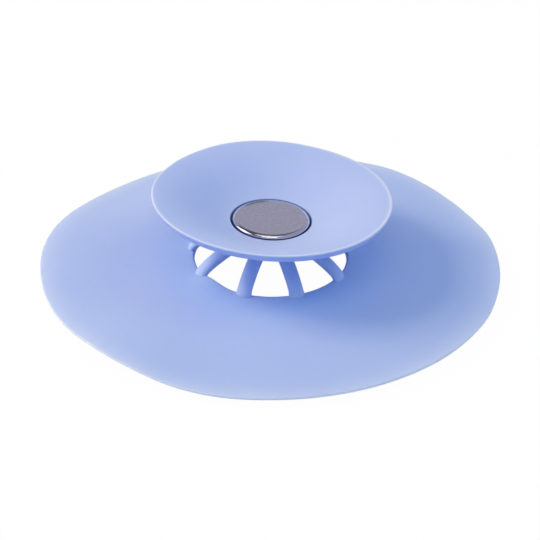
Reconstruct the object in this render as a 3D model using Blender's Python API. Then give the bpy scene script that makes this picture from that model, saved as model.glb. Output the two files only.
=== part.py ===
# Push-down sink strainer: a wide soft brim round a drain hole, nine ribs that arch in over the
# hole, the hub they carry, a saucer that closes the hole when it is pressed, and a steel button.
# Lengths are in metres. The drain's axis is +Z, and the brim rests on z = 0.
# Heights below are measured from the level through the middle of the brim's outer edge.

import math

import bmesh
import bpy

# Brim: a thin round sheet, thickest round its hole
brim_radius = 0.0750
brim_edge_thickness = 0.0009
brim_hole_radius = 0.0249
brim_hole_thickness = 0.0024
brim_hole_round = 0.0005
brim_top_height = 0.0023  # the top face, at the hole
brim_seat_width = 0.0100  # the flat ring under the brim, round the hole
brim_wave_height = 0.0030  # how far the soft outer edge sags at its lowest place
# the outer edge's rise at equal steps round it, anticlockwise from +X
brim_wave_shares = (
    (0.12, 0.24, -0.17, -0.17, 0.05, 0.15, -0.13, -0.07)
    + (-0.30, -0.51, -0.73, -0.96, -1.00, -0.78, -0.26, 0.20)
    + (0.40, 0.42, 0.20, 0.26, 0.52, 0.34, -0.18, -0.36)
    + (-0.26, -0.20, -0.16, -0.12, -0.11, -0.06, -0.17, 0.12)
)

# Saucer: a shallow round dish with a recess and a boss for the button
saucer_radius = 0.0387
saucer_rim_height = 0.0247
saucer_rim_thickness = 0.00215
saucer_rim_round = 0.0006
saucer_wall = 0.0021
saucer_lip_height = 0.0156  # the dish's floor, where it meets the button's recess
saucer_lip_round = 0.0004
saucer_floor = 0.0016  # what is left under the recess
saucer_lean_right = 0.0015  # how much lower the rim stands at +X
saucer_lean_back = 0.0011  # how much lower the rim stands at +Y
saucer_wave_height = 0.0006  # how far the soft rim waves, on top of its lean
# the rim's rise at equal steps round it, anticlockwise from +X
saucer_wave_shares = (
    (0.40, 0.50, 0.30, 0.17)
    + (0.58, 0.50, -0.48, -0.92)
    + (0.10, 0.13, 0.10, 0.15)
    + (-0.08, -0.18, -0.27, 0.10)
)
dish_straight_share = 0.35  # how much of the dish's rise is a straight cone
dish_early_share = 0.85  # below 1, the steepest part moves towards the button

# Button: a drawn steel cap, pressed over the saucer's boss
button_radius = 0.0126
button_wall = 0.0008
button_round = 0.0009
button_proud = 0.0008  # its top above the saucer's lip
button_depth = 0.0013  # how far its skirt reaches below the lip
button_margin = 0.0005  # the open groove round it

# Hub: the round block under the saucer that the ribs meet
hub_radius = 0.0125
hub_bottom_height = 0.0075
hub_round = 0.0008

# Ribs: soft rods from the brim's hole edge to the hub
rib_width = 0.0048
rib_thickness = 0.0036
rib_foot_overhang = 0.0008  # how far outside the hole's edge the middle of a rib's foot stands
rib_foot_depth = 0.0030  # how far a rod is first made too long, before its foot is cut to fit
# where each rib stands round the axis, in degrees from +X: evenly, but for the soft side ribs' give
rib_places = (90, 130, 171, 210.5, 251, 289.5, 328.5, 9, 50)
# a rib's middle line: how far in from foot to hub, and how far up
rib_path_shares = (
    (0.00, 0.00),
    (0.07, 0.16),
    (0.18, 0.33),
    (0.31, 0.51),
    (0.47, 0.67),
    (0.63, 0.81),
    (0.81, 0.94),
    (1.00, 1.00),
)

# Pieces that touch keep this gap
seat_gap = 0.0003
# pressed down, the rigid saucer stops this far over the hole's edge, onto which a soft one flattens
closed_gap = 0.00175

# Finishes
silicone_colour = (0.42, 0.54, 0.90)
silicone_roughness = 0.55
steel_colour = (0.57, 0.56, 0.64)
steel_roughness = 0.32

# How finely round shapes are divided
brim_steps = 80
brim_rings = 7
seat_rings = 2
saucer_steps = 64
dish_rings = 8
button_steps = 48
hub_steps = 40
round_steps = 4
rib_sides = 12
rib_steps_per_point = 2
merge_distance = 0.00001
sharp_angle = math.radians(35)

# Sizes that follow from those above
brim_seat_height = brim_top_height - brim_hole_thickness
brim_seat_radius = brim_hole_radius + brim_seat_width
recess_radius = button_radius + button_margin
recess_depth = button_depth + seat_gap
button_top_height = saucer_lip_height + button_proud
button_bore_radius = button_radius - button_wall
boss_radius = button_bore_radius - seat_gap
boss_height = button_top_height - button_wall - seat_gap
saucer_under_height = saucer_lip_height - recess_depth - saucer_floor
hub_top_height = saucer_under_height - seat_gap
rib_foot_radius = brim_hole_radius + rib_foot_overhang
rib_foot_height = brim_top_height + seat_gap
rib_end_radius = hub_radius + seat_gap
rib_end_height = hub_bottom_height + rib_thickness / 2


def clear_scene():
    for thing in list(bpy.data.objects):
        bpy.data.objects.remove(thing, do_unlink=True)


def finish_of(name, colour, roughness, metallic=0.0):
    material = bpy.data.materials.new(name)
    material.use_nodes = True
    shader = material.node_tree.nodes["Principled BSDF"]
    shader.inputs["Base Color"].default_value = (*colour, 1.0)
    shader.inputs["Roughness"].default_value = roughness
    shader.inputs["Metallic"].default_value = metallic
    material.diffuse_color = (*colour, 1.0)
    return material


def smoothstep(share):
    share = min(max(share, 0.0), 1.0)
    return share * share * (3.0 - 2.0 * share)


def between(start, end, share):
    return start + (end - start) * share


def curve_weights(t):
    # how much each of four points in a row counts, t of the way from the second to the third
    return (
        -0.5 * t**3 + t**2 - 0.5 * t,
        1.5 * t**3 - 2.5 * t**2 + 1,
        -1.5 * t**3 + 2 * t**2 + 0.5 * t,
        0.5 * t**3 - 0.5 * t**2,
    )


def evenly(start, end, count):
    # count steps from start to end, without the start itself
    return [between(start, end, step / count) for step in range(1, count + 1)]


def corner(middle, radius, from_angle, to_angle):
    # a rounded corner as a short arc, with angles in degrees anticlockwise from outwards
    points = []
    for step in range(round_steps + 1):
        angle = math.radians(between(from_angle, to_angle, step / round_steps))
        points.append((middle[0] + radius * math.cos(angle), middle[1] + radius * math.sin(angle)))
    return points


def object_from(shape, name, material, parent):
    bmesh.ops.remove_doubles(shape, verts=shape.verts, dist=merge_distance)
    bmesh.ops.recalc_face_normals(shape, faces=shape.faces)
    mesh = bpy.data.meshes.new(name)
    shape.to_mesh(mesh)
    shape.free()
    mesh.shade_smooth()
    mesh.set_sharp_from_angle(angle=sharp_angle)
    mesh.materials.append(material)
    thing = bpy.data.objects.new(name, mesh)
    bpy.context.collection.objects.link(thing)
    thing.parent = parent
    return thing


def turned(outline, steps, closed):
    # an outline of (radius, height) points, spun once round the drain's axis
    shape = bmesh.new()
    points = [shape.verts.new((radius, 0, height)) for radius, height in outline]
    edges = [shape.edges.new(pair) for pair in zip(points, points[1:])]
    if closed:
        edges.append(shape.edges.new((points[-1], points[0])))
    bmesh.ops.spin(
        shape,
        geom=points + edges,
        axis=(0, 0, 1),
        cent=(0, 0, 0),
        angle=math.tau,
        steps=steps,
        use_merge=True,
    )
    return shape


def raise_by(shape, rise):
    # moves each point of a shape up by rise(distance from the axis, angle round it)
    for point in shape.verts:
        radius = math.hypot(point.co.x, point.co.y)
        point.co.z += rise(radius, math.atan2(point.co.y, point.co.x))


def edge_wave(angle, shares):
    # how far a soft edge rises at an angle, as a share: a smooth closed curve through the shares
    count = len(shares)
    place = angle / math.tau * count
    number = math.floor(place)
    near = [shares[(number + step) % count] for step in (-1, 0, 1, 2)]
    weights = curve_weights(place - number)
    return sum(weight * share for weight, share in zip(weights, near))


def brim_rise(radius, angle):
    # flat over the seat, then growing smoothly to the whole wave at the outer edge
    share = (radius - brim_seat_radius) / (brim_radius - brim_seat_radius)
    return brim_wave_height * edge_wave(angle, brim_wave_shares) * smoothstep(share)


def brim_top(radius):
    # the top face falls as a straight slope from the hole to the outer edge
    share = (radius - brim_hole_radius) / (brim_radius - brim_hole_radius)
    return between(brim_top_height, brim_edge_thickness / 2, share)


def brim_under(radius):
    # the underside is flat over the seat, and then eases down to the outer edge
    share = (radius - brim_seat_radius) / (brim_radius - brim_seat_radius)
    return between(brim_seat_height, -brim_edge_thickness / 2, smoothstep(share))


def brim_outline():
    edge_round = brim_edge_thickness / 2
    edge_middle = brim_radius - edge_round
    hole_round_middle = brim_hole_radius + brim_hole_round
    outline = corner(
        (hole_round_middle, brim_top(hole_round_middle) - brim_hole_round), brim_hole_round, 180, 90
    )
    top_radii = evenly(hole_round_middle, brim_seat_radius, seat_rings)
    top_radii += evenly(brim_seat_radius, edge_middle, brim_rings)
    outline += [(radius, brim_top(radius)) for radius in top_radii[:-1]]
    outline += corner((edge_middle, 0), edge_round, 90, -90)
    under_radii = evenly(edge_middle, brim_seat_radius, brim_rings)
    outline += [(radius, brim_under(radius)) for radius in under_radii]
    outline += corner((hole_round_middle, brim_seat_height + brim_hole_round), brim_hole_round, 270, 180)
    return outline


def make_brim(material, parent):
    shape = turned(brim_outline(), brim_steps, closed=True)
    raise_by(shape, brim_rise)
    return object_from(shape, "brim", material, parent)


def dish_share(share):
    # how far up the dish is, from 0 at the button's recess to 1 at the rim
    early = share**dish_early_share
    return dish_straight_share * early + (1 - dish_straight_share) * smoothstep(early)


def dish_top(radius):
    share = (radius - recess_radius) / (saucer_radius - recess_radius)
    return between(saucer_lip_height, saucer_rim_height, dish_share(min(max(share, 0.0), 1.0)))


def saucer_rise(radius, angle):
    # the rim leans, lower to the right and at the back, and waves a little
    share = min(max((radius - recess_radius) / (saucer_radius - recess_radius), 0.0), 1.0)
    fall = saucer_lean_right * math.cos(angle) + saucer_lean_back * math.sin(angle)
    wave = saucer_wave_height * edge_wave(angle, saucer_wave_shares)
    return -fall * share + wave * smoothstep(share)


def saucer_outline():
    lip_middle = recess_radius + saucer_lip_round
    rim_middle = saucer_radius - saucer_rim_round
    recess_height = saucer_lip_height - recess_depth
    rim_top = dish_top(rim_middle)
    rim_under = rim_top - saucer_rim_thickness
    outline = [
        (0, boss_height),
        (boss_radius, boss_height),
        (boss_radius, recess_height),
        (recess_radius, recess_height),
    ]
    outline += corner((lip_middle, dish_top(lip_middle) - saucer_lip_round), saucer_lip_round, 180, 90)
    top_radii = evenly(lip_middle, rim_middle, dish_rings)
    outline += [(radius, dish_top(radius)) for radius in top_radii[:-1]]
    outline += corner((rim_middle, rim_top - saucer_rim_round), saucer_rim_round, 90, 0)
    outline += corner((rim_middle, rim_under + saucer_rim_round), saucer_rim_round, 0, -90)
    # the underside follows the dish, a wall lower, down to the flat middle above the hub
    wall_start = recess_radius + saucer_wall
    for radius in evenly(rim_middle, wall_start, dish_rings)[:-1]:
        share = (radius - wall_start) / (rim_middle - wall_start)
        thickness = between(saucer_wall, saucer_rim_thickness, share)
        outline.append((radius, dish_top(radius) - thickness))
    outline += [(wall_start, saucer_under_height + seat_gap), (recess_radius, saucer_under_height)]
    outline.append((0, saucer_under_height))
    return outline


def make_saucer(material, parent):
    shape = turned(saucer_outline(), saucer_steps, closed=False)
    raise_by(shape, saucer_rise)
    return object_from(shape, "saucer", material, parent)


def make_button(material, parent):
    round_middle = button_radius - button_round
    skirt_height = saucer_lip_height - button_depth
    outline = [(0, button_top_height)]
    outline += corner((round_middle, button_top_height - button_round), button_round, 90, 0)
    outline += [
        (button_radius, skirt_height),
        (button_bore_radius, skirt_height),
        (button_bore_radius, button_top_height - button_wall),
        (0, button_top_height - button_wall),
    ]
    shape = turned(outline, button_steps, closed=False)
    return object_from(shape, "steel_button", material, parent)


def make_hub(material, parent):
    outline = [(0, hub_top_height), (hub_radius, hub_top_height)]
    outline += corner((hub_radius - hub_round, hub_bottom_height + hub_round), hub_round, 0, -90)
    outline.append((0, hub_bottom_height))
    shape = turned(outline, hub_steps, closed=False)
    return object_from(shape, "hub", material, parent)


def rib_path():
    # the rib's middle line as (distance from the axis, height) points, from below its foot to the hub
    path = []
    for inward, upward in rib_path_shares:
        radius = between(rib_foot_radius, rib_end_radius, inward)
        height = between(rib_foot_height, rib_end_height, upward)
        path.append((radius, height))
    foot, above = path[:2]
    reach = rib_foot_depth / math.dist(foot, above)
    below = [between(a, b, -reach) for a, b in zip(foot, above)]
    return [below, *path]


def through(points, steps):
    # a smooth curve through the points, each stretch leaving along its neighbours' direction
    first = [2 * a - b for a, b in zip(points[0], points[1])]
    last = [2 * a - b for a, b in zip(points[-1], points[-2])]
    around = [first, *points, last]
    curve = []
    for number in range(len(points) - 1):
        a, b, c, d = around[number : number + 4]
        for step in range(steps):
            weights = curve_weights(step / steps)
            curve.append([sum(w * p[axis] for w, p in zip(weights, (a, b, c, d))) for axis in (0, 1)])
    curve.append(list(points[-1]))
    return curve


def rib_mesh():
    # an oval ring at each point of the path, joined by walls and closed at both ends
    path = through(rib_path(), rib_steps_per_point)
    shape = bmesh.new()
    rings = []
    for number, (radius, height) in enumerate(path):
        before = path[max(number - 1, 0)]
        after = path[min(number + 1, len(path) - 1)]
        run, rise = after[0] - before[0], after[1] - before[1]
        if number == len(path) - 1:
            # the last ring stands upright, against the hub
            rise = 0.0
        length = math.hypot(run, rise)
        ring = []
        for side in range(rib_sides):
            turn = math.tau * side / rib_sides
            out = math.cos(turn) * rib_thickness / 2
            across = math.sin(turn) * rib_width / 2
            place = (radius + out * rise / length, across, height - out * run / length)
            ring.append(shape.verts.new(place))
        rings.append([shape.edges.new((ring[side - 1], ring[side])) for side in range(rib_sides)])
    for ring, next_ring in zip(rings, rings[1:]):
        bmesh.ops.bridge_loops(shape, edges=ring + next_ring)
    for ring in (rings[0], rings[-1]):
        bmesh.ops.contextual_create(shape, geom=ring)
    return shape


def foot_cutter(material, parent):
    # the brim round its hole, one gap larger: cut from a rod, it leaves a foot that fits the edge
    inner = brim_hole_radius - seat_gap
    outer = rib_foot_radius + rib_thickness + rib_foot_depth
    bottom = rib_foot_height - rib_thickness - rib_foot_depth
    outline = [(inner, rib_foot_height), (outer, rib_foot_height), (outer, bottom), (inner, bottom)]
    cutter = object_from(turned(outline, brim_steps, closed=True), "foot_cutter", material, parent)
    cutter.hide_render = True
    cutter.display_type = "WIRE"
    return cutter


def make_ribs(material, parent):
    cutter = foot_cutter(material, parent)
    first = object_from(rib_mesh(), "rib_01", material, parent)
    ribs = [first]
    for number in range(1, len(rib_places)):
        rib = bpy.data.objects.new(f"rib_{number + 1:02d}", first.data)
        bpy.context.collection.objects.link(rib)
        rib.parent = parent
        ribs.append(rib)
    for place, rib in zip(rib_places, ribs):
        rib.rotation_euler.z = math.radians(place)
        foot = rib.modifiers.new("foot", "BOOLEAN")
        foot.operation = "DIFFERENCE"
        foot.object = cutter


def main():
    clear_scene()
    silicone = finish_of("blue_silicone", silicone_colour, silicone_roughness)
    steel = finish_of("brushed_steel", steel_colour, steel_roughness, metallic=1.0)

    # everything hangs on this empty, which stands on the drain's axis at the level of the edge
    drain_axis = bpy.data.objects.new("drain_axis", None)
    bpy.context.collection.objects.link(drain_axis)
    brim = make_brim(silicone, drain_axis)
    drain_axis.location.z = -min(point.co.z for point in brim.data.vertices)

    make_ribs(silicone, drain_axis)

    # the hub, the saucer and the button slide down this axis together
    press_axis = bpy.data.objects.new("press_axis", None)
    bpy.context.collection.objects.link(press_axis)
    press_axis.parent = drain_axis
    make_hub(silicone, press_axis)
    make_saucer(silicone, press_axis)
    make_button(steel, press_axis)

    print(f"edge level above the floor: {drain_axis.location.z * 1000:.3f} mm")
    press_travel = dish_top(brim_hole_radius) - saucer_wall - brim_top_height - closed_gap
    print(f"travel from open to closed: {press_travel * 1000:.1f} mm")


main()
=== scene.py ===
# A push-down sink strainer in soft blue silicone with a steel button.
# Lengths are in metres, with the drain's axis on +Z.

import bmesh
import bpy
import numpy as np
from mathutils import Matrix, Quaternion, Vector


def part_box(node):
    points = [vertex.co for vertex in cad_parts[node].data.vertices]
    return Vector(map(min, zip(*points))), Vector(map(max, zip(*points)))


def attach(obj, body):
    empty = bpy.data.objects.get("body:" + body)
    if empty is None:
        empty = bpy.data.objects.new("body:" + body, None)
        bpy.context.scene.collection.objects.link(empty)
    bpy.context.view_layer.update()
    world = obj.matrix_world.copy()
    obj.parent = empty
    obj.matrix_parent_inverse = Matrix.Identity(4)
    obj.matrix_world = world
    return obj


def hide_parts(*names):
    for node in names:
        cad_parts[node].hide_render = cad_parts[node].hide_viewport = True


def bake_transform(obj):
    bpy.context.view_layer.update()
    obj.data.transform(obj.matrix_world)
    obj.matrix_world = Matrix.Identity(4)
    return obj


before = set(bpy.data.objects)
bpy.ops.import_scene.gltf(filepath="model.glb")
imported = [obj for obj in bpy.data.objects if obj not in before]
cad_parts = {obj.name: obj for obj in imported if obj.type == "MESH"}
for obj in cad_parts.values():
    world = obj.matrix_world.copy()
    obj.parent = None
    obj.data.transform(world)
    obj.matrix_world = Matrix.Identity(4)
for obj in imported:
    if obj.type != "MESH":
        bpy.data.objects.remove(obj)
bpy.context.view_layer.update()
print("frame loaded,", len(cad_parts), "nodes")

tau = 2 * np.pi
mergeDistance = 1e-6
plainWhite = (1, 1, 1, 1)

# heights in the dictionaries below are measured from the level of the brim's outer edge
buttonTop = 0.0164
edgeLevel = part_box("steel_button")[1].z - buttonTop


# Camera: where the photograph was taken from

cameraPlace = {
    "distance": 0.550,  # from the drain's axis, at the level of the brim's edge
    "elevation": 32.054,  # degrees above the floor
    "roll": 0.889,  # degrees
    "sensorWidth": 36,  # mm
    "focalLength": 111.64,  # mm
    "shift": (-0.00083, -0.01824),  # the strainer sits a little above the picture's middle
    "nearest": 0.01,  # what is closer isn't seen
}


def makeCamera(place):
    # looks along +Y, down at the elevation, and is turned by the roll about its own line of sight
    height = np.radians(place["elevation"])
    roll = np.radians(place["roll"])
    back = Vector((0, -np.cos(height), np.sin(height)))
    up = Vector((0, np.sin(height), np.cos(height)))
    right = Vector((1, 0, 0))
    sideways = right * np.cos(roll) + up * np.sin(roll)
    upwards = up * np.cos(roll) - right * np.sin(roll)
    lens = bpy.data.cameras.new("photoCamera")
    lens.sensor_width = place["sensorWidth"]
    lens.lens = place["focalLength"]
    lens.shift_x, lens.shift_y = place["shift"]
    lens.clip_start = place["nearest"]
    camera = bpy.data.objects.new("photoCamera", lens)
    bpy.context.scene.collection.objects.link(camera)
    turn = Matrix((sideways, upwards, back)).transposed().to_4x4()
    camera.matrix_world = Matrix.Translation(Vector((0, 0, edgeLevel)) + back * place["distance"]) @ turn
    bpy.context.scene.camera = camera


makeCamera(cameraPlace)
print("camera placed")


# Shapes that every piece is worked out with

def smoothstep(share):
    # 0 up to 0, 1 from 1, and 3s^2 - 2s^3 between them
    share = np.clip(share, 0, 1)
    return share * share * (3 - 2 * share)


def mix(start, end, share):
    # start plus the share of the way to the end
    return start + (end - start) * share


def arc(middle, radius, fromAngle, toAngle, steps=8):
    # middle + radius (cos a, sin a), for angles in degrees from outwards
    angle = np.radians(np.linspace(fromAngle, toAngle, steps + 1))
    return np.stack([middle[0] + radius * np.cos(angle), middle[1] + radius * np.sin(angle)], -1)


def line(start, end, steps):
    # evenly spaced points from start up to, but without, the end
    share = np.arange(steps)[:, None] / steps
    return mix(np.array(start, float), np.array(end, float), share)


def curveWeights(t):
    # how much each of four neighbouring points counts, t of the way from the second to the third
    return np.stack([
        -0.5 * t**3 + t**2 - 0.5 * t,
        1.5 * t**3 - 2.5 * t**2 + 1,
        -1.5 * t**3 + 2 * t**2 + 0.5 * t,
        0.5 * t**3 - 0.5 * t**2,
    ], -1)


def smoothCurve(points, steps):
    # a curve through all points, each stretch weighing its four neighbours with curveWeights
    points = np.array(points, float)
    padded = np.vstack([2 * points[0] - points[1], points, 2 * points[-1] - points[-2]])
    place = np.arange((len(points) - 1) * steps + 1) / steps
    first = np.minimum(place.astype(int), len(points) - 2)
    near = padded[first[:, None] + np.arange(4)]
    return (curveWeights(place - first)[:, :, None] * near).sum(1)


def edgeWave(angle, shape):
    # how far a soft edge rises at each angle, on the smooth closed curve through the wave's shares
    shares = np.array(shape["waveShares"])
    place = np.mod(angle / tau, 1) * len(shares)
    number = np.floor(place).astype(int)
    near = shares[(number[..., None] + np.array([-1, 0, 1, 2])) % len(shares)]
    return shape["waveHeight"] * (curveWeights(place - number) * near).sum(-1)


def turned(profile, columns):
    # a profile of (radius, height) points, carried round the drain's axis: x = r cos a, y = r sin a
    angle = tau * np.arange(columns) / columns
    radius = profile[:, 0, None]
    height = np.broadcast_to(profile[:, 1, None], (len(profile), columns))
    return np.stack([radius * np.cos(angle), radius * np.sin(angle), height], -1)


def polar(points):
    # each point's distance from the drain's axis, and its angle round it
    return np.hypot(points[..., 0], points[..., 1]), np.arctan2(points[..., 1], points[..., 0])


def gridMesh(name, points, closedRows=False, marks=None):
    # points[row, column] are joined by squares, once round along each row, and with closedRows also
    # from the last row to the first; marks are values that a material can read, one for each row
    rows, columns = points.shape[:2]
    row, column = np.mgrid[0:rows if closedRows else rows - 1, 0:columns]
    nextRow, nextColumn = (row + 1) % rows, (column + 1) % columns
    corners = np.stack([
        row * columns + column,
        row * columns + nextColumn,
        nextRow * columns + nextColumn,
        nextRow * columns + column,
    ], -1)
    mesh = bpy.data.meshes.new(name)
    mesh.from_pydata(points.reshape(-1, 3).tolist(), [], corners.reshape(-1, 4).tolist())
    for label, values in (marks or {}).items():
        mark = mesh.attributes.new(label, "FLOAT", "POINT")
        mark.data.foreach_set("value", np.repeat(values, columns).astype(np.float32))
    shape = bmesh.new()
    shape.from_mesh(mesh)
    bmesh.ops.remove_doubles(shape, verts=shape.verts, dist=mergeDistance)
    bmesh.ops.recalc_face_normals(shape, faces=shape.faces)
    shape.to_mesh(mesh)
    shape.free()
    mesh.shade_smooth()
    piece = bpy.data.objects.new(name, mesh)
    bpy.context.scene.collection.objects.link(piece)
    return piece


# Nodes and node groups that several materials use

def setInputs(tree, node, inputs):
    # a socket is linked, and anything else is a value; _0 is the first input, and the others go by name
    for key, value in inputs.items():
        socket = node.inputs[int(key[1:]) if key[0] == "_" else key.replace("_", " ")]
        if isinstance(value, bpy.types.NodeSocket):
            tree.links.new(value, socket)
        else:
            socket.default_value = value


def addNode(tree, kind, settings=None, **inputs):
    # a shader node, with its settings and its inputs
    node = tree.nodes.new("ShaderNode" + kind)
    for key, value in (settings or {}).items():
        setattr(node, key, value)
    setInputs(tree, node, inputs)
    return node


def addGroup(tree, group, **inputs):
    # a node group, placed in a material with that material's own values
    node = tree.nodes.new("ShaderNodeGroup")
    node.node_tree = group
    setInputs(tree, node, inputs)
    return node.outputs


def addMath(tree, operation, *values):
    # what the operation makes of the values
    inputs = {f"_{number}": value for number, value in enumerate(values)}
    return addNode(tree, "Math", {"operation": operation}, **inputs).outputs[0]


def addRange(tree, value, start, end):
    # 0 at the start and before it, 1 at the end and past it, and straight between them
    return addNode(tree, "MapRange", None, Value=value, From_Min=start, From_Max=end).outputs[0]


def addMix(tree, share, first, second):
    # the share of the way from the first colour to the second
    return addNode(tree, "Mix", {"data_type": "RGBA"}, Factor=share, _6=first, _7=second).outputs[2]


def addScaled(tree, colour, factor):
    # the colour times the factor
    return addNode(tree, "VectorMath", {"operation": "SCALE"}, _0=colour, Scale=factor).outputs[0]


def addNoise(tree, place, scale, detail):
    # cloudy values that average a half
    return addNode(tree, "TexNoise", None, Vector=place, Scale=scale, Detail=detail).outputs["Fac"]


def addFlat(tree, place):
    # the place without its height
    return addNode(tree, "VectorMath", {"operation": "MULTIPLY"}, _0=place, _1=(1, 1, 0)).outputs[0]


def addGlow(tree, colour, strength):
    # a surface that shines by itself
    return addNode(tree, "Emission", None, Color=colour, Strength=strength).outputs[0]


def newGroup(name, inputs, outputs):
    # a node group, with what it is given and what it puts out
    group = bpy.data.node_groups.new(name, "ShaderNodeTree")
    for label, kind, value in inputs:
        socket = group.interface.new_socket(label, in_out="INPUT", socket_type=kind)
        socket.default_value = value
    for label, kind in outputs:
        group.interface.new_socket(label, in_out="OUTPUT", socket_type=kind)
    return group, group.nodes.new("NodeGroupInput").outputs, group.nodes.new("NodeGroupOutput").inputs


def newMaterial(name):
    # a material, with its node tree and its main shader
    material = bpy.data.materials.new(name)
    material.use_nodes = True
    return material, material.node_tree, material.node_tree.nodes["Principled BSDF"]


def makeAxisBand():
    # a mask that rises from 0 to 1 between two distances from the drain's axis, late where its power is high
    group, given, out = newGroup(
        "axisBand",
        [
            ("Start", "NodeSocketFloat", 0.0),
            ("End", "NodeSocketFloat", 1.0),
            ("Power", "NodeSocketFloat", 1.0),
        ],
        [("Mask", "NodeSocketFloat"), ("Distance", "NodeSocketFloat")],
    )
    flat = addFlat(group, addNode(group, "TexCoord").outputs["Object"])
    distance = addNode(group, "VectorMath", {"operation": "LENGTH"}, _0=flat).outputs["Value"]
    share = addRange(group, distance, given["Start"], given["End"])
    group.links.new(addMath(group, "POWER", share, given["Power"]), out["Mask"])
    group.links.new(distance, out["Distance"])
    return group


skinLook = {
    "cloudScale": 90.0,
    "cloudDetail": 3.0,
    "cloudAmount": 0.03,
    "grainScale": 1500.0,
    "grainDetail": 2.0,
    "roughSwing": 0.06,
    "speckScale": 110.0,
    "speckReach": (0.05, 0.03),  # a speck's edge and its full core, in cells from the cell's middle
    "cleanShare": 0.985,  # how many of the cells hold no speck
    "speckColour": (0.10, 0.13, 0.22, 1),
}


def makeSoftSkin(look):
    # moulded silicone: cloudy colour, a fine matt grain, and a speck of dust here and there
    group, given, out = newGroup(
        "softSkin",
        [
            ("Colour", "NodeSocketColor", plainWhite),
            ("Cloud Amount", "NodeSocketFloat", look["cloudAmount"]),
            ("Grain Scale", "NodeSocketFloat", look["grainScale"]),
            ("Speck Amount", "NodeSocketFloat", 0.3),
            ("Roughness", "NodeSocketFloat", 0.5),
        ],
        [("Colour", "NodeSocketColor"), ("Roughness", "NodeSocketFloat"), ("Height", "NodeSocketFloat")],
    )
    place = addNode(group, "TexCoord").outputs["Object"]
    cloud = addNoise(group, place, look["cloudScale"], look["cloudDetail"])
    grain = addNoise(group, place, given["Grain Scale"], look["grainDetail"])
    # the cloud and the grain move the colour's brightness about 1 by the cloud amount
    swing = addMath(group, "SUBTRACT", addMath(group, "ADD", cloud, grain), 1.0)
    bright = addMath(group, "MULTIPLY_ADD", swing, given["Cloud Amount"], 1.0)
    tinted = addScaled(group, given["Colour"], bright)
    # a speck is the core of a rare cell
    cells = addNode(group, "TexVoronoi", None, Vector=place, Scale=look["speckScale"]).outputs
    core = addRange(group, cells["Distance"], *look["speckReach"])
    pick = addNode(group, "SeparateColor", None, Color=cells["Color"]).outputs[0]
    speck = addMath(group, "MULTIPLY", core, addMath(group, "GREATER_THAN", pick, look["cleanShare"]))
    amount = addMath(group, "MULTIPLY", speck, given["Speck Amount"])
    rough = addMath(group, "MULTIPLY_ADD", swing, look["roughSwing"], given["Roughness"])
    group.links.new(addMix(group, amount, tinted, look["speckColour"]), out["Colour"])
    group.links.new(rough, out["Roughness"])
    group.links.new(grain, out["Height"])
    return group


axisBand = makeAxisBand()
softSkin = makeSoftSkin(skinLook)


# Silicone: what the brim, the saucer and the ribs are moulded in, each with colours of its own, which hold
# painted light and shade

siliconeLook = {
    "roughness": 0.50,
    "shine": 0.4,
    "grainStrength": 0.25,
    "grainHeight": 0.00002,
    "scatterDepth": 0.0016,
    "scatterRadius": (0.5, 0.75, 1.3),
    "scatterWeight": 0.35,
}


def addBands(tree, plainColour, bands):
    # the plain colour, and over it each band: a start and an end, as distances from the drain's axis,
    # between which the band's colour takes over, a power that is high where it does so late, and the colour
    colour = addNode(tree, "RGB").outputs[0]
    colour.default_value = plainColour
    for start, end, power, bandColour in bands:
        band = addGroup(tree, axisBand, Start=start, End=end, Power=power)["Mask"]
        colour = addMix(tree, band, colour, bandColour)
    return colour


def makeSilicone(name, look):
    # soft matt silicone; where there are underBands, the bands are on the mesh's marked top side alone, and
    # the under bands, which paint shade, on its side and underside
    material, tree, shader = newMaterial(name)
    colour = addBands(tree, look["colour"], look["bands"])
    if look["underBands"]:
        topSide = addNode(tree, "Attribute", {"attribute_name": "topSide"}).outputs["Fac"]
        colour = addMix(tree, topSide, addBands(tree, look["colour"], look["underBands"]), colour)
    skin = addGroup(
        tree, softSkin,
        Colour=colour, Speck_Amount=look["speckAmount"], Roughness=siliconeLook["roughness"],
    )
    bump = addNode(
        tree, "Bump", None,
        Strength=siliconeLook["grainStrength"], Distance=siliconeLook["grainHeight"], Height=skin["Height"],
    )
    tree.links.new(skin["Colour"], shader.inputs["Base Color"])
    tree.links.new(skin["Roughness"], shader.inputs["Roughness"])
    tree.links.new(bump.outputs[0], shader.inputs["Normal"])
    shader.inputs["Specular IOR Level"].default_value = siliconeLook["shine"]
    shader.inputs["Subsurface Weight"].default_value = siliconeLook["scatterWeight"]
    shader.inputs["Subsurface Radius"].default_value = siliconeLook["scatterRadius"]
    shader.inputs["Subsurface Scale"].default_value = siliconeLook["scatterDepth"]
    return material


# Brim: a wide thin round sheet, thickest round the drain hole, with a soft wavy edge

brimShape = {
    "holeRadius": 0.0249,
    "holeTop": 0.0023,  # the top face's height at the hole
    "holeThickness": 0.0024,
    "holeRound": 0.0006,
    "seatWidth": 0.0100,  # the flat ring underneath, round the hole
    "edgeThickness": 0.0009,
    "edgeTopRound": 0.0003,
    "edgeUnderRound": 0.0002,
    "liftHeight": 0.0012,  # how far a rib pulls the hole's edge up at its front left
    "liftPlace": 223,  # degrees from +X
    "liftWidth": 13,  # degrees to either side, where about a third of the lift is left
    "waveHeight": 0.00299,
    # the edge's rise at equal steps round it, anticlockwise from +X
    "waveShares": [
        0.12, 0.24, -0.17, -0.17, 0.05, 0.15, -0.13, -0.07,
        -0.30, -0.51, -0.73, -0.96, -1.00, -0.78, -0.26, 0.20,
        0.40, 0.42, 0.20, 0.26, 0.52, 0.34, -0.18, -0.36,
        -0.26, -0.20, -0.16, -0.12, -0.11, -0.06, -0.17, 0.12,
    ],
    "columns": 512,
    "topSteps": 56,
}

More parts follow.
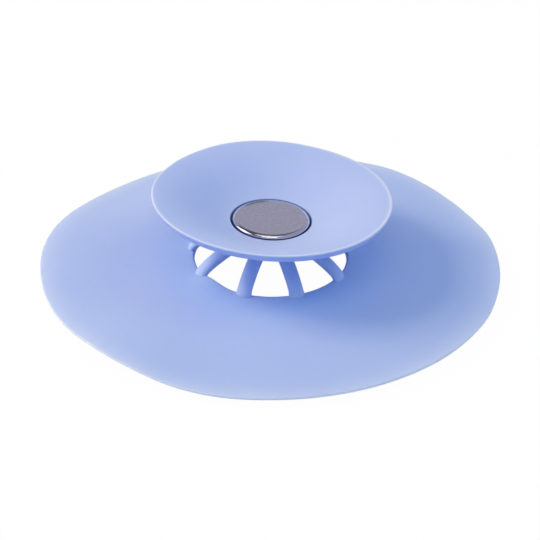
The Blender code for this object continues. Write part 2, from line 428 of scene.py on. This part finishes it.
brimLook = {
    "colour": (0.42, 0.54, 0.90, 1),
    "bands": [
        (0.0660, 0.0750, 2.0, (0.54, 0.64, 0.93, 1)),  # where light comes through the thin edge
        (0.07485, 0.07498, 1.0, (0.68, 0.76, 1.0, 1)),  # painted light on the cut side
        (0.0450, 0.0300, 1.0, (0.385, 0.56, 0.96, 1)),  # painted bluer shade near the drain hole, under the saucer
        (0.0256, 0.0251, 1.0, (0.16, 0.27, 0.72, 1)),  # painted shade on the rounding of the hole's edge
    ],
    "underBands": [],
    "speckAmount": 0.6,
}


def makeBrim(shape, material):
    # a profile turned about the axis: up out of the hole, over the top, round the edge and back
    # along the underside; it rises by the edge's wave, and by lift e^-(angle / width)^2 at the hole
    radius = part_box("brim")[1].x
    half = shape["edgeThickness"] / 2
    seatRadius = shape["holeRadius"] + shape["seatWidth"]
    seatHeight = shape["holeTop"] - shape["holeThickness"]
    holeMiddle = shape["holeRadius"] + shape["holeRound"]
    topCorner = radius - shape["edgeTopRound"]
    underCorner = radius - shape["edgeUnderRound"]

    def topHeight(r):
        # a straight slope from the hole to the edge
        return mix(shape["holeTop"], half, (r - shape["holeRadius"]) / (radius - shape["holeRadius"]))

    def underHeight(r):
        # flat under the seat, then easing down to the edge
        return mix(seatHeight, -half, smoothstep((r - seatRadius) / (radius - seatRadius)))

    topRadii = np.linspace(holeMiddle, topCorner, shape["topSteps"])[1:-1]
    underRadii = topRadii[::-1]
    profile = np.vstack([
        arc((holeMiddle, topHeight(holeMiddle) - shape["holeRound"]), shape["holeRound"], 180, 90),
        np.stack([topRadii, topHeight(topRadii)], -1),
        arc((topCorner, half - shape["edgeTopRound"]), shape["edgeTopRound"], 90, 0),
        arc((underCorner, shape["edgeUnderRound"] - half), shape["edgeUnderRound"], 0, -90),
        np.stack([underRadii, underHeight(underRadii)], -1),
        arc((holeMiddle, seatHeight + shape["holeRound"]), shape["holeRound"], 270, 180),
    ])
    points = turned(profile, shape["columns"])
    distance, angle = polar(points)
    share = (distance - seatRadius) / (radius - seatRadius)
    away = np.mod(np.degrees(angle) - shape["liftPlace"] + 180, 360) - 180
    lift = shape["liftHeight"] * np.exp(-(away / shape["liftWidth"]) ** 2)
    inner = smoothstep((seatRadius - distance) / shape["seatWidth"])
    points[..., 2] += edgeLevel + edgeWave(angle, shape) * smoothstep(share) + lift * inner
    piece = gridMesh("softBrim", points, closedRows=True)
    piece.data.materials.append(material)
    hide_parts("brim")
    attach(piece, "brim")


makeBrim(brimShape, makeSilicone("brimSilicone", brimLook))
print("brim made")


# Saucer: a shallow dish with a recess for the button, and the hub under it

saucerShape = {
    "rimHeight": 0.02465,
    "rimThickness": 0.00257,
    "rimTopRound": 0.0004,
    "rimUnderRound": 0.0004,
    "sideSlant": 25,  # degrees that the rim's side runs inwards on its way down
    "wall": 0.0021,
    "lipHeight": 0.0156,
    "lipRound": 0.0004,
    "recessRadius": 0.01315,
    "recessDepth": 0.0016,
    "bossRadius": 0.0115,
    "bossHeight": 0.0153,
    "straightShare": 0.35,  # how much of the dish's rise is a straight cone
    "earlyShare": 0.85,  # below 1, the steepest part moves towards the button
    "leanRight": 0.0015,  # how much lower the rim stands at +X
    "leanBack": 0.0011,  # how much lower it stands at +Y
    "rightMiddle": 0.264,  # the shares of the two leans that the button's recess has at its edge
    "backMiddle": 0.03,
    "shiftRight": 0.00025,  # how far the lean carries the rim to the right
    "waveHeight": 0.0006,
    # the rim's rise at equal steps round it, anticlockwise from +X
    "waveShares": [
        0.40, 0.50, 0.30, 0.17, 0.58, 0.50, -0.48, -0.92,
        0.10, 0.13, 0.10, 0.15, -0.08, -0.18, -0.27, 0.10,
    ],
    "underHeight": 0.0124,
    "hubRound": 0.0010,
    "hubFillet": 0.0016,
    "gateRadius": 0.0018,  # the mark that the mould's gate leaves under the hub
    "gateDepth": 0.0003,
    "columns": 384,
    "dishSteps": 64,
    "recessSteps": 2,
    "gateSteps": 10,
}

saucerLook = {
    "colour": (0.44, 0.55, 0.89, 1),
    "bands": [
        (0.0370, 0.0383, 2.0, (0.64, 0.70, 0.92, 1)),  # where light comes through the thin rim
        (0.0134, 0.0131, 1.0, (0.09, 0.17, 0.50, 1)),  # in the recess, where little light comes
    ],
    "underBands": [
        (0.0300, 0.0365, 1.0, (0.37, 0.50, 0.93, 1)),  # painted shade on the side of the rim, fading out under the dish
    ],
    "speckAmount": 0.6,
}


def dishShare(share, shape):
    # how far up the dish is: part straight cone, part smoothstep, both of share to the power earlyShare
    early = np.clip(share, 0, 1) ** shape["earlyShare"]
    return mix(smoothstep(early), early, shape["straightShare"])


def leanFall(points, shape, radius):
    # how far each point falls: right cos a + back sin a, where both leans grow straight to the recess's
    # edge and straight on to the rim
    distance, angle = polar(points)
    places = (0, shape["recessRadius"], radius)
    right = shape["leanRight"] * np.interp(distance, places, (0, shape["rightMiddle"], 1))
    back = shape["leanBack"] * np.interp(distance, places, (0, shape["backMiddle"], 1))
    return right * np.cos(angle) + back * np.sin(angle)


def makeSaucer(shape, material):
    # a profile turned about the axis: from the boss over the dish's top and rim, back underneath and
    # round the hub; then it leans, waves and moves right, all most at the rim
    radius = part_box("saucer")[1].x
    hubLow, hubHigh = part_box("hub")
    hubRadius = hubHigh.x
    hubBottom = hubLow.z - edgeLevel
    recess, boss, bossHeight = shape["recessRadius"], shape["bossRadius"], shape["bossHeight"]
    recessHeight = shape["lipHeight"] - shape["recessDepth"]
    topRound, underRound = shape["rimTopRound"], shape["rimUnderRound"]

    def topHeight(r):
        # from the lip to the rim along the dish
        return mix(shape["lipHeight"], shape["rimHeight"], dishShare((r - recess) / (radius - recess), shape))

    lipMiddle = recess + shape["lipRound"]
    lipLow = topHeight(lipMiddle) - shape["lipRound"]
    topMiddle = radius - topRound
    rimTop = topHeight(topMiddle)
    rimUnder = rimTop - shape["rimThickness"]
    # the slanting side touches the two roundings
    slant = np.radians(shape["sideSlant"])
    sideDrop = shape["rimThickness"] - topRound - underRound
    underMiddle = topMiddle + (topRound - underRound - sideDrop * np.sin(slant)) / np.cos(slant)
    topRadii = np.linspace(lipMiddle, topMiddle, shape["dishSteps"])[1:-1]
    wallStart = recess + shape["wall"]
    underRadii = np.linspace(underMiddle, wallStart, shape["dishSteps"])[1:]
    rimShare = (underRadii - wallStart) / (underMiddle - wallStart)
    dishUnder = topHeight(underRadii) - mix(shape["wall"], shape["rimThickness"], rimShare)
    # the flat middle takes over where the dish's underside would run below it
    underHeights = np.maximum(dishUnder, shape["underHeight"])
    fillet = shape["hubFillet"]
    filletMiddle = (hubRadius + fillet, shape["underHeight"] - fillet)
    hubMiddle = (hubRadius - shape["hubRound"], hubBottom + shape["hubRound"])
    gateShare = np.linspace(1, 0, shape["gateSteps"])
    gateHeights = hubBottom + shape["gateDepth"] * (1 - smoothstep(gateShare))
    recessSteps = shape["recessSteps"]
    upperProfile = np.vstack([
        line((0, bossHeight), (boss, bossHeight), recessSteps),
        line((boss, bossHeight), (boss, recessHeight), recessSteps),
        line((boss, recessHeight), (recess, recessHeight), recessSteps),
        line((recess, recessHeight), (recess, lipLow), recessSteps),
        arc((lipMiddle, lipLow), shape["lipRound"], 180, 90),
        np.stack([topRadii, topHeight(topRadii)], -1),
    ])
    corner = arc((topMiddle, rimTop - topRound), topRound, 90, -shape["sideSlant"])
    lowerProfile = np.vstack([
        arc((underMiddle, rimUnder + underRound), underRound, -shape["sideSlant"], -90),
        np.stack([underRadii, underHeights], -1),
        arc(filletMiddle, fillet, 90, 180),
        arc(hubMiddle, shape["hubRound"], 0, -90),
        np.stack([shape["gateRadius"] * gateShare, gateHeights], -1),
    ])
    points = turned(np.vstack([upperProfile, corner, lowerProfile]), shape["columns"])
    # 1 on top, 0 on the side and underneath, where painted shade goes, and between them round the corner
    topSide = np.concatenate([
        np.ones(len(upperProfile)),
        smoothstep(np.linspace(1, 0, len(corner))),
        np.zeros(len(lowerProfile)),
    ])
    distance, angle = polar(points)
    share = np.clip((distance - recess) / (radius - recess), 0, 1)
    # the hub's bottom stays level, and its top follows the dish
    upper = smoothstep((points[..., 2] - hubBottom) / (shape["underHeight"] - hubBottom))
    points[..., 2] += edgeLevel - leanFall(points, shape, radius) * upper
    points[..., 2] += edgeWave(angle, shape) * smoothstep(share)
    points[..., 0] += shape["shiftRight"] * share
    piece = gridMesh("softSaucer", points, marks={"topSide": topSide})
    piece.data.materials.append(material)
    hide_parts("saucer", "hub")
    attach(piece, "saucer")


makeSaucer(saucerShape, makeSilicone("saucerSilicone", saucerLook))
print("saucer made")


# Ribs: nine soft rods that arch from the hole's edge up to the hub

ribShape = {
    # where each stands, in degrees from +X
    "places": [90, 130, 171, 210.8, 251.4, 289.1, 327.9, 11, 50],
    "width": 0.0048,
    "thickness": 0.0036,
    "sides": 40,
    "stepsPerPoint": 10,
    # the middle line, as distance from the axis and height, from inside the hub to inside the brim's wall
    "path": [
        (0.0118, 0.0094),
        (0.0128, 0.0093),
        (0.01515, 0.00885),
        (0.0175, 0.00805),
        (0.01955, 0.0071),
        (0.0215, 0.0060),
        (0.0232, 0.0048),
        (0.0246, 0.0036),
        (0.0254, 0.0025),
        (0.0257, 0.0015),
        (0.0258, 0.0006),
    ],
    "endRound": 0.0009,  # how rounded the rod's two ends are
    "footFlare": 0.11,  # how much wider the foot is
    "flareLength": 0.0040,
    "footThinning": 0.22,  # how much of its thickness a rod loses on the inside on its way to the foot
    "thinningLength": 0.0100,
    "blendReach": 0.0020,  # how far outside its foot a rod starts to follow the saucer
}

ribLook = {
    # painted shade colour: the ribs' copy of the silicone is greener and brighter blue than the brim's, for
    # the blue light that they get in the shade under the saucer
    "colour": (0.48, 0.62, 1.0, 1),
    "bands": [],
    "underBands": [],
    "speckAmount": 0.0,
}


def makeRib(name, node, angle, shape, material):
    # an oval carried along the path, thickness / 2 cos t outwards and width / 2 sin t sideways, whose
    # size falls to nothing along a quarter ellipse at both ends
    path = smoothCurve(shape["path"], shape["stepsPerPoint"])
    step = np.gradient(path, axis=0)
    step /= np.linalg.norm(step, axis=1, keepdims=True)
    across = np.stack([-step[:, 1], step[:, 0]], -1)
    along = np.concatenate([[0], np.cumsum(np.linalg.norm(np.diff(path, axis=0), axis=1))])
    toFoot = along[-1] - along
    toEnd = np.minimum(along, toFoot) / shape["endRound"]
    size = np.sqrt(np.clip(1 - (1 - np.clip(toEnd, 0, 1)) ** 2, 0, 1))
    turn = tau * np.arange(shape["sides"]) / shape["sides"]
    thinning = (shape["footThinning"] * smoothstep(1 - toFoot / shape["thinningLength"]))[:, None]
    # the outside stays where it is, so the middle moves outwards by half of what the inside loses
    outwards = size[:, None] * ((1 - thinning) * np.cos(turn) + thinning) * shape["thickness"] / 2
    flare = 1 + shape["footFlare"] * smoothstep(1 - toFoot / shape["flareLength"])
    sideways = (size * flare)[:, None] * np.sin(turn) * shape["width"] / 2
    distance = path[:, 0, None] + across[:, 0, None] * outwards
    height = path[:, 1, None] + across[:, 1, None] * outwards + edgeLevel
    points = np.stack([
        distance * np.cos(angle) - sideways * np.sin(angle),
        distance * np.sin(angle) + sideways * np.cos(angle),
        height,
    ], -1)
    piece = gridMesh(name, points)
    piece.data.materials.append(material)
    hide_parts(node)
    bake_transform(piece)


ribSilicone = makeSilicone("ribSilicone", ribLook)
for number, place in enumerate(ribShape["places"]):
    makeRib(f"softRib{number + 1:02d}", f"rib_{number + 1:02d}", np.radians(place), ribShape, ribSilicone)
print("ribs made")


# Button: a pressed steel cap with a satin top and a polished rolled edge

buttonShape = {
    "faceRadius": 0.0110,
    "edgeDrop": 0.0010,  # how far down the rolled edge runs
    "wall": 0.0008,
    "crown": 0.00005,  # how much higher the face's middle is than its edge
    "columns": 256,
    "faceSteps": 24,
    "edgeSteps": 24,
    "skirtSteps": 2,
    "ceilingSteps": 4,
    "leanBack": 0.00025,  # how much lower its back edge is, beside what the recess leans
    "sharpAngle": 40,  # degrees past which an edge isn't smoothed
}

steelLook = {
    "colour": (0.61, 0.60, 0.71),
    "faceRoughness": 0.34,
    "edgeRoughness": 0.12,
    "polishStart": 0.0109,  # distances from the axis between which satin turns to polish
    "polishEnd": 0.0112,
    "ringSpacing": 0.00045,
    "ringDetail": 3.0,
    "grainScale": 900.0,
    "grainDetail": 4.0,
    "grainWeight": 2.0,  # how much the grain counts, beside 1 for the rings
    "mottle": 0.24,
    "roughSwing": 0.10,
    "bumpStrength": 0.35,
    "bumpHeight": 0.00002,
    # a painted dark reflection, a streak on the face's edge at the back left:
    "paintedStreakPlace": 118,  # degrees from +X
    "paintedStreakReach": (26, 14),  # degrees to either side, from nothing to full
    "paintedStreakRadii": (0.0099, 0.0106, 0.0113, 0.0117),  # it starts, is full, fades and ends
    "paintedStreakShade": 0.55,
}


def makeButton(shape, material):
    # a profile turned about the axis: a face, a quarter ellipse for the rolled edge, a plain skirt, and
    # the same inside, a wall thinner
    low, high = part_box("steel_button")
    radius, top, bottom = high.x, high.z, low.z
    face = shape["faceRadius"]
    faceRadii = np.linspace(0, face, shape["faceSteps"])[:-1]
    faceHeights = top - shape["crown"] * (faceRadii / face) ** 2
    edgeTurn = np.linspace(0, tau / 4, shape["edgeSteps"])
    edgeRadii = face + (radius - face) * np.sin(edgeTurn)
    edgeHeights = top - shape["crown"] - (shape["edgeDrop"] - shape["crown"]) * (1 - np.cos(edgeTurn))
    skirtMiddle = mix(edgeHeights[-1], bottom, 0.5)
    bore, ceiling = radius - shape["wall"], top - shape["wall"]
    profile = np.vstack([
        np.stack([faceRadii, faceHeights], -1),
        np.stack([edgeRadii, edgeHeights], -1),
        line((radius, skirtMiddle), (radius, bottom), shape["skirtSteps"]),
        line((radius, bottom), (bore, bottom), shape["skirtSteps"]),
        line((bore, bottom), (bore, ceiling), shape["skirtSteps"]),
        line((bore, ceiling), (0, ceiling), shape["ceilingSteps"]),
        np.array([(0, ceiling)]),
    ])
    points = turned(profile, shape["columns"])
    # the button leans with the recess that it sits in, and a little more to the back
    points[..., 2] -= leanFall(points, saucerShape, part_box("saucer")[1].x)
    points[..., 2] -= shape["leanBack"] * points[..., 1] / radius
    piece = gridMesh("pressButton", points)
    piece.data.set_sharp_from_angle(angle=np.radians(shape["sharpAngle"]))
    piece.data.materials.append(material)
    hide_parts("steel_button")
    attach(piece, "saucer")


def addPaintedStreak(tree, look, place, distance):
    # 1, but for a painted dark reflection: a darker streak along the face's edge at the back left
    turn = np.radians(look["paintedStreakPlace"])
    way = addNode(tree, "VectorMath", {"operation": "NORMALIZE"}, _0=addFlat(tree, place)).outputs[0]
    towards = addNode(
        tree, "VectorMath", {"operation": "DOT_PRODUCT"}, _0=way, _1=(np.cos(turn), np.sin(turn), 0)
    ).outputs["Value"]
    near = addRange(tree, towards, *np.cos(np.radians(look["paintedStreakReach"])))
    start, full, fade, end = look["paintedStreakRadii"]
    rise = addRange(tree, distance, start, full)
    fall = addRange(tree, distance, end, fade)
    mask = addMath(tree, "MULTIPLY", addMath(tree, "MULTIPLY", rise, fall), near)
    return addMath(tree, "MULTIPLY_ADD", mask, -look["paintedStreakShade"], 1.0)


def makeSteel(look):
    # satin steel with faint turned rings, a mottled grain and a painted dark reflection near its edge,
    # polished from polishStart outwards
    material, tree, shader = newMaterial("buttonSteel")
    band = addGroup(tree, axisBand, Start=look["polishStart"], End=look["polishEnd"])
    place = addNode(tree, "TexCoord").outputs["Object"]
    ringPlace = addNode(tree, "CombineXYZ", None, X=band["Distance"]).outputs[0]
    rings = addNoise(tree, ringPlace, 1 / look["ringSpacing"], look["ringDetail"])
    grain = addNoise(tree, place, look["grainScale"], look["grainDetail"])
    texture = addMath(tree, "MULTIPLY_ADD", grain, look["grainWeight"], rings)
    # each noise averages a half, so the swing averages nothing
    swing = addMath(tree, "SUBTRACT", texture, (look["grainWeight"] + 1) / 2)
    faceRough = addMath(tree, "MULTIPLY_ADD", swing, look["roughSwing"], look["faceRoughness"])
    rough = addNode(
        tree, "Mix", None, Factor=band["Mask"], _2=faceRough, _3=look["edgeRoughness"]
    ).outputs[0]
    # the painted dark reflection darkens the colour near the face's edge at the back left
    paintedStreak = addPaintedStreak(tree, look, place, band["Distance"])
    bright = addMath(tree, "MULTIPLY_ADD", swing, look["mottle"], paintedStreak)
    # the polished edge has no bump
    strength = addNode(
        tree, "MapRange", None, Value=band["Mask"], To_Min=look["bumpStrength"], To_Max=0.0
    ).outputs[0]
    bump = addNode(tree, "Bump", None, Strength=strength, Distance=look["bumpHeight"], Height=texture)
    tree.links.new(addScaled(tree, look["colour"], bright), shader.inputs["Base Color"])
    tree.links.new(rough, shader.inputs["Roughness"])
    tree.links.new(bump.outputs[0], shader.inputs["Normal"])
    shader.inputs["Metallic"].default_value = 1.0
    return material


makeButton(buttonShape, makeSteel(steelLook))
print("button made")


# Studio: a white floor, a lamp from the left, two weaker ones, a dim blue room, and what the steel mirrors

studio = {
    "roomColour": (0.43, 0.62, 1.0, 1),  # of the light that it gives, since it is seen as white
    "roomLight": 0.60,
    "floorSize": 6.0,
    "floorColour": (0.85, 0.85, 0.85, 1),
    "floorRoughness": 0.9,
    "floorWhite": 0.98,  # how much of the floor that the camera sees is plain white, the rest taking shadow
    "cardSize": 0.75,
    "cardLight": 2.1,  # how bright the white card is that the steel shows in the key's place
    "flagRadius": 2.0,
    "flagRings": 13,
    "flagColumns": 48,
    "flagTint": (0.97, 0.97, 1.12),
    # how bright the grey flags are at each degree above the floor
    "flagLevels": [(18, 0.90), (22, 0.48), (38, 0.44), (43, 0.10), (68, 0.10), (72, 1.0)],
    "openReach": (0.12, 0.40),  # the flags fade away between these shares of their radius towards +X
    "openColour": (0.42, 0.42, 0.50, 1),
}

lamps = {
    "key": {
        "place": (-0.858, 0.121, 0.677),
        "size": 0.5,
        "energy": 10.3,
        "colour": (1.0, 0.75, 0.43),
        "inSteel": False,  # whether the steel shows it
    },
    "top": {
        "place": (0.0, -0.48, 0.99),
        "size": 0.6,
        "energy": 1.6,
        "colour": (1.0, 0.92, 0.62),
        "inSteel": True,
    },
    "fill": {
        "place": (0.778, 0.0, 0.778),
        "size": 0.5,
        "energy": 1.9,
        "colour": (1.0, 0.94, 0.46),
        "inSteel": False,
    },
}


def addLamp(name, look):
    # a square lamp that faces the strainer
    lamp = bpy.data.lights.new(name, "AREA")
    lamp.size = look["size"]
    lamp.energy = look["energy"]
    lamp.color = look["colour"]
    thing = bpy.data.objects.new(name, lamp)
    bpy.context.scene.collection.objects.link(thing)
    thing.location = look["place"]
    thing.rotation_euler = Vector(look["place"]).to_track_quat("Z", "Y").to_euler()
    thing.visible_glossy = look["inSteel"]


def squareMesh(name, size, place, turn, material):
    # a level square, turned and carried to its place
    half = size / 2
    level = [(-half, -half, 0), (half, -half, 0), (half, half, 0), (-half, half, 0)]
    mesh = bpy.data.meshes.new(name)
    mesh.from_pydata([tuple(place + turn @ Vector(corner)) for corner in level], [], [(0, 1, 2, 3)])
    mesh.materials.append(material)
    thing = bpy.data.objects.new(name, mesh)
    bpy.context.scene.collection.objects.link(thing)
    return thing


def showInSteelAlone(thing):
    # left out of the picture and of the light, and mirrored by what is shiny
    thing.visible_camera = thing.visible_diffuse = thing.visible_transmission = False
    thing.visible_volume_scatter = thing.visible_shadow = False


def seenDirectly(tree):
    # 1 on rays from the camera, on mirrored ones and on those that pass through
    path = addNode(tree, "LightPath").outputs
    shown = addMath(tree, "MAXIMUM", path["Is Camera Ray"], path["Is Glossy Ray"])
    return addMath(tree, "MAXIMUM", shown, path["Is Transmission Ray"])


def makeRoom(look):
    # plain white where it is seen, and dim and blue where it only gives light
    world = bpy.data.worlds.new("whiteRoom")
    bpy.context.scene.world = world
    world.use_nodes = True
    tree = world.node_tree
    seen = seenDirectly(tree)
    strength = addNode(tree, "MapRange", None, Value=seen, To_Min=look["roomLight"]).outputs[0]
    colour = addMix(tree, seen, look["roomColour"], plainWhite)
    tree.links.new(colour, tree.nodes["Background"].inputs["Color"])
    tree.links.new(strength, tree.nodes["Background"].inputs["Strength"])


def makeFloor(look):
    # glows white where it is seen, but for a little that takes shadow
    material, tree, shader = newMaterial("whiteFloor")
    shader.inputs["Base Color"].default_value = look["floorColour"]
    shader.inputs["Roughness"].default_value = look["floorRoughness"]
    white = addGlow(tree, plainWhite, 1.0)
    share = addMath(tree, "MULTIPLY", seenDirectly(tree), look["floorWhite"])
    both = addNode(tree, "MixShader", None, Fac=share, _1=shader.outputs[0], _2=white).outputs[0]
    tree.links.new(both, tree.nodes["Material Output"].inputs["Surface"])
    floor = squareMesh("floor", look["floorSize"], Vector((0, 0, 0)), Quaternion(), material)


def makeCard(look, place):
    # a white card in a lamp's place, seen in the steel alone
    material, tree = newMaterial("keyCard")[:2]
    glow = addGlow(tree, plainWhite, look["cardLight"])
    tree.links.new(glow, tree.nodes["Material Output"].inputs["Surface"])
    place = Vector(place)
    card = squareMesh("keyCard", look["cardSize"], place, place.to_track_quat("Z", "Y"), material)
    showInSteelAlone(card)


def makeFlags(look):
    # a band of grey flags all round, seen in the steel alone: x, y = radius cos e, z = radius sin e
    material, tree = newMaterial("greyFlags")[:2]
    radius = look["flagRadius"]
    place = addNode(tree, "SeparateXYZ", None, Vector=addNode(tree, "TexCoord").outputs["Object"]).outputs
    ramp = addNode(tree, "ValToRGB", None, Fac=addMath(tree, "DIVIDE", place["Z"], radius))
    stops = ramp.color_ramp.elements
    while len(stops) < len(look["flagLevels"]):
        stops.new(0.5)
    for stop, (degrees, level) in zip(stops, look["flagLevels"]):
        stop.position = np.sin(np.radians(degrees))
        stop.color = (*(level * np.array(look["flagTint"])), 1)
    start, end = look["openReach"]
    opened = addRange(tree, place["X"], start * radius, end * radius)
    glow = addGlow(tree, addMix(tree, opened, ramp.outputs["Color"], look["openColour"]), 1.0)
    tree.links.new(glow, tree.nodes["Material Output"].inputs["Surface"])
    lowest, highest = look["flagLevels"][0][0], look["flagLevels"][-1][0]
    turn = np.radians(np.linspace(lowest, highest, look["flagRings"]))
    profile = np.stack([np.cos(turn), np.sin(turn)], -1) * radius
    flags = gridMesh("greyFlags", turned(profile, look["flagColumns"]))
    flags.data.materials.append(material)
    showInSteelAlone(flags)


makeRoom(studio)
makeFloor(studio)
makeFlags(studio)
for lampName, lampLook in lamps.items():
    addLamp(lampName, lampLook)
makeCard(studio, lamps["key"]["place"])
bpy.context.scene.view_settings.view_transform = "Standard"
print("studio lit")
